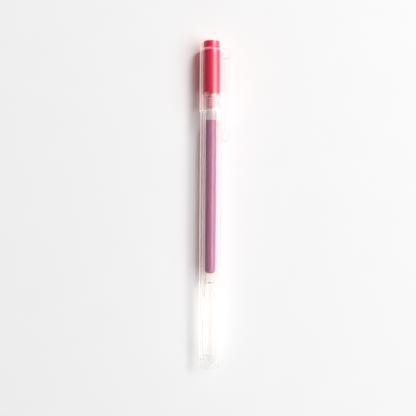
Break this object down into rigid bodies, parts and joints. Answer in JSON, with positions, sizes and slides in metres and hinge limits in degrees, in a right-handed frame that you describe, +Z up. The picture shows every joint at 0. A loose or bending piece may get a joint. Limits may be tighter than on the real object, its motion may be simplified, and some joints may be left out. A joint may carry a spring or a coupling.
{
  "type": "capped gel-ink pen",
  "caption": "Capped gel-ink pen with a frosted see-through barrel and cap, a crimson inner cap, a side clip and a visible ink refill, lying on its side.",
  "frame": {"origin": "centre of the flat end of the tail plug, on the pen's own axis; the surface that the pen lies on is 5.35 mm below it", "axes": "+Y along the pen towards the cap's crown, +X to the side that the clip leans to, +Z up from the surface that the pen lies on"},
  "size_m": [0.0138, 0.15, 0.0106],
  "materials": {
    "barrel_plastic": "frosted, see-through, nearly clear polypropylene",
    "cap_plastic": "frosted, see-through, nearly clear polypropylene",
    "nose_plastic": "frosted, see-through polypropylene",
    "plug_plastic": "frosted, see-through polypropylene",
    "inner_cap_plastic": "crimson moulded plastic",
    "seal_elastomer": "off-white soft elastomer",
    "tube_plastic": "clear extruded tube",
    "ink_wine": "dark wine-red gel ink",
    "follower_grease": "clear grease",
    "holder_plastic": "milky polypropylene",
    "ball_steel": "hard polished ball",
    "tip_metal": "turned metal"
  },
  "bodies": {
    "barrel": {"barrel": "barrel_plastic", "tail_plug": "plug_plastic", "refill_tube": "tube_plastic", "ink_column": "ink_wine", "tip_holder": "holder_plastic", "holder_ink": "ink_wine", "writing_tip": "tip_metal", "tip_spring": "tip_metal"},
    "nose": {"nose_cone": "nose_plastic"},
    "seal": {"tip_seal": "seal_elastomer"},
    "cap": {"cap_shell": "cap_plastic", "cap_crown": "cap_plastic", "inner_cap": "inner_cap_plastic"},
    "clip": {"clip": "cap_plastic"},
    "follower": {"ink_follower": "follower_grease"},
    "check_ball": {"check_ball": "ball_steel"},
    "ball": {"tip_ball": "ball_steel"}
  },
  "joints": [
    {"name": "cap_pull", "type": "slide", "parent": "barrel", "child": "seal", "axis": [0, 1, 0], "range_m": [0, 0.05]},
    {"name": "cap_turn", "type": "hinge", "parent": "seal", "child": "cap", "pos_m": [0, 0.145, 0], "axis": [0, 1, 0], "continuous": true},
    {"name": "clip_flex", "type": "hinge", "parent": "cap", "child": "clip", "pos_m": [0.00774, 0.1431, -0.00351], "axis": [0.4127, 0, 0.9109], "range_deg": [0, 4], "stiffness_Nm_per_rad": 2},
    {"name": "nose_turn", "type": "hinge", "parent": "barrel", "child": "nose", "pos_m": [0, 0.12, 0], "axis": [0, 1, 0], "continuous": true},
    {"name": "ink_use", "type": "slide", "parent": "barrel", "child": "follower", "axis": [0, 1, 0], "range_m": [0, 0.069], "deforming": ["ink_column"]},
    {"name": "check_ball_float", "type": "slide", "parent": "barrel", "child": "check_ball", "axis": [0, 1, 0], "range_m": [-0.001, 0.0036], "deforming": ["holder_ink"]},
    {"name": "ball_roll", "type": "hinge", "parent": "barrel", "child": "ball", "pos_m": [0, 0.14315, 0], "axis": [1, 0, 0], "continuous": true}
  ]
}
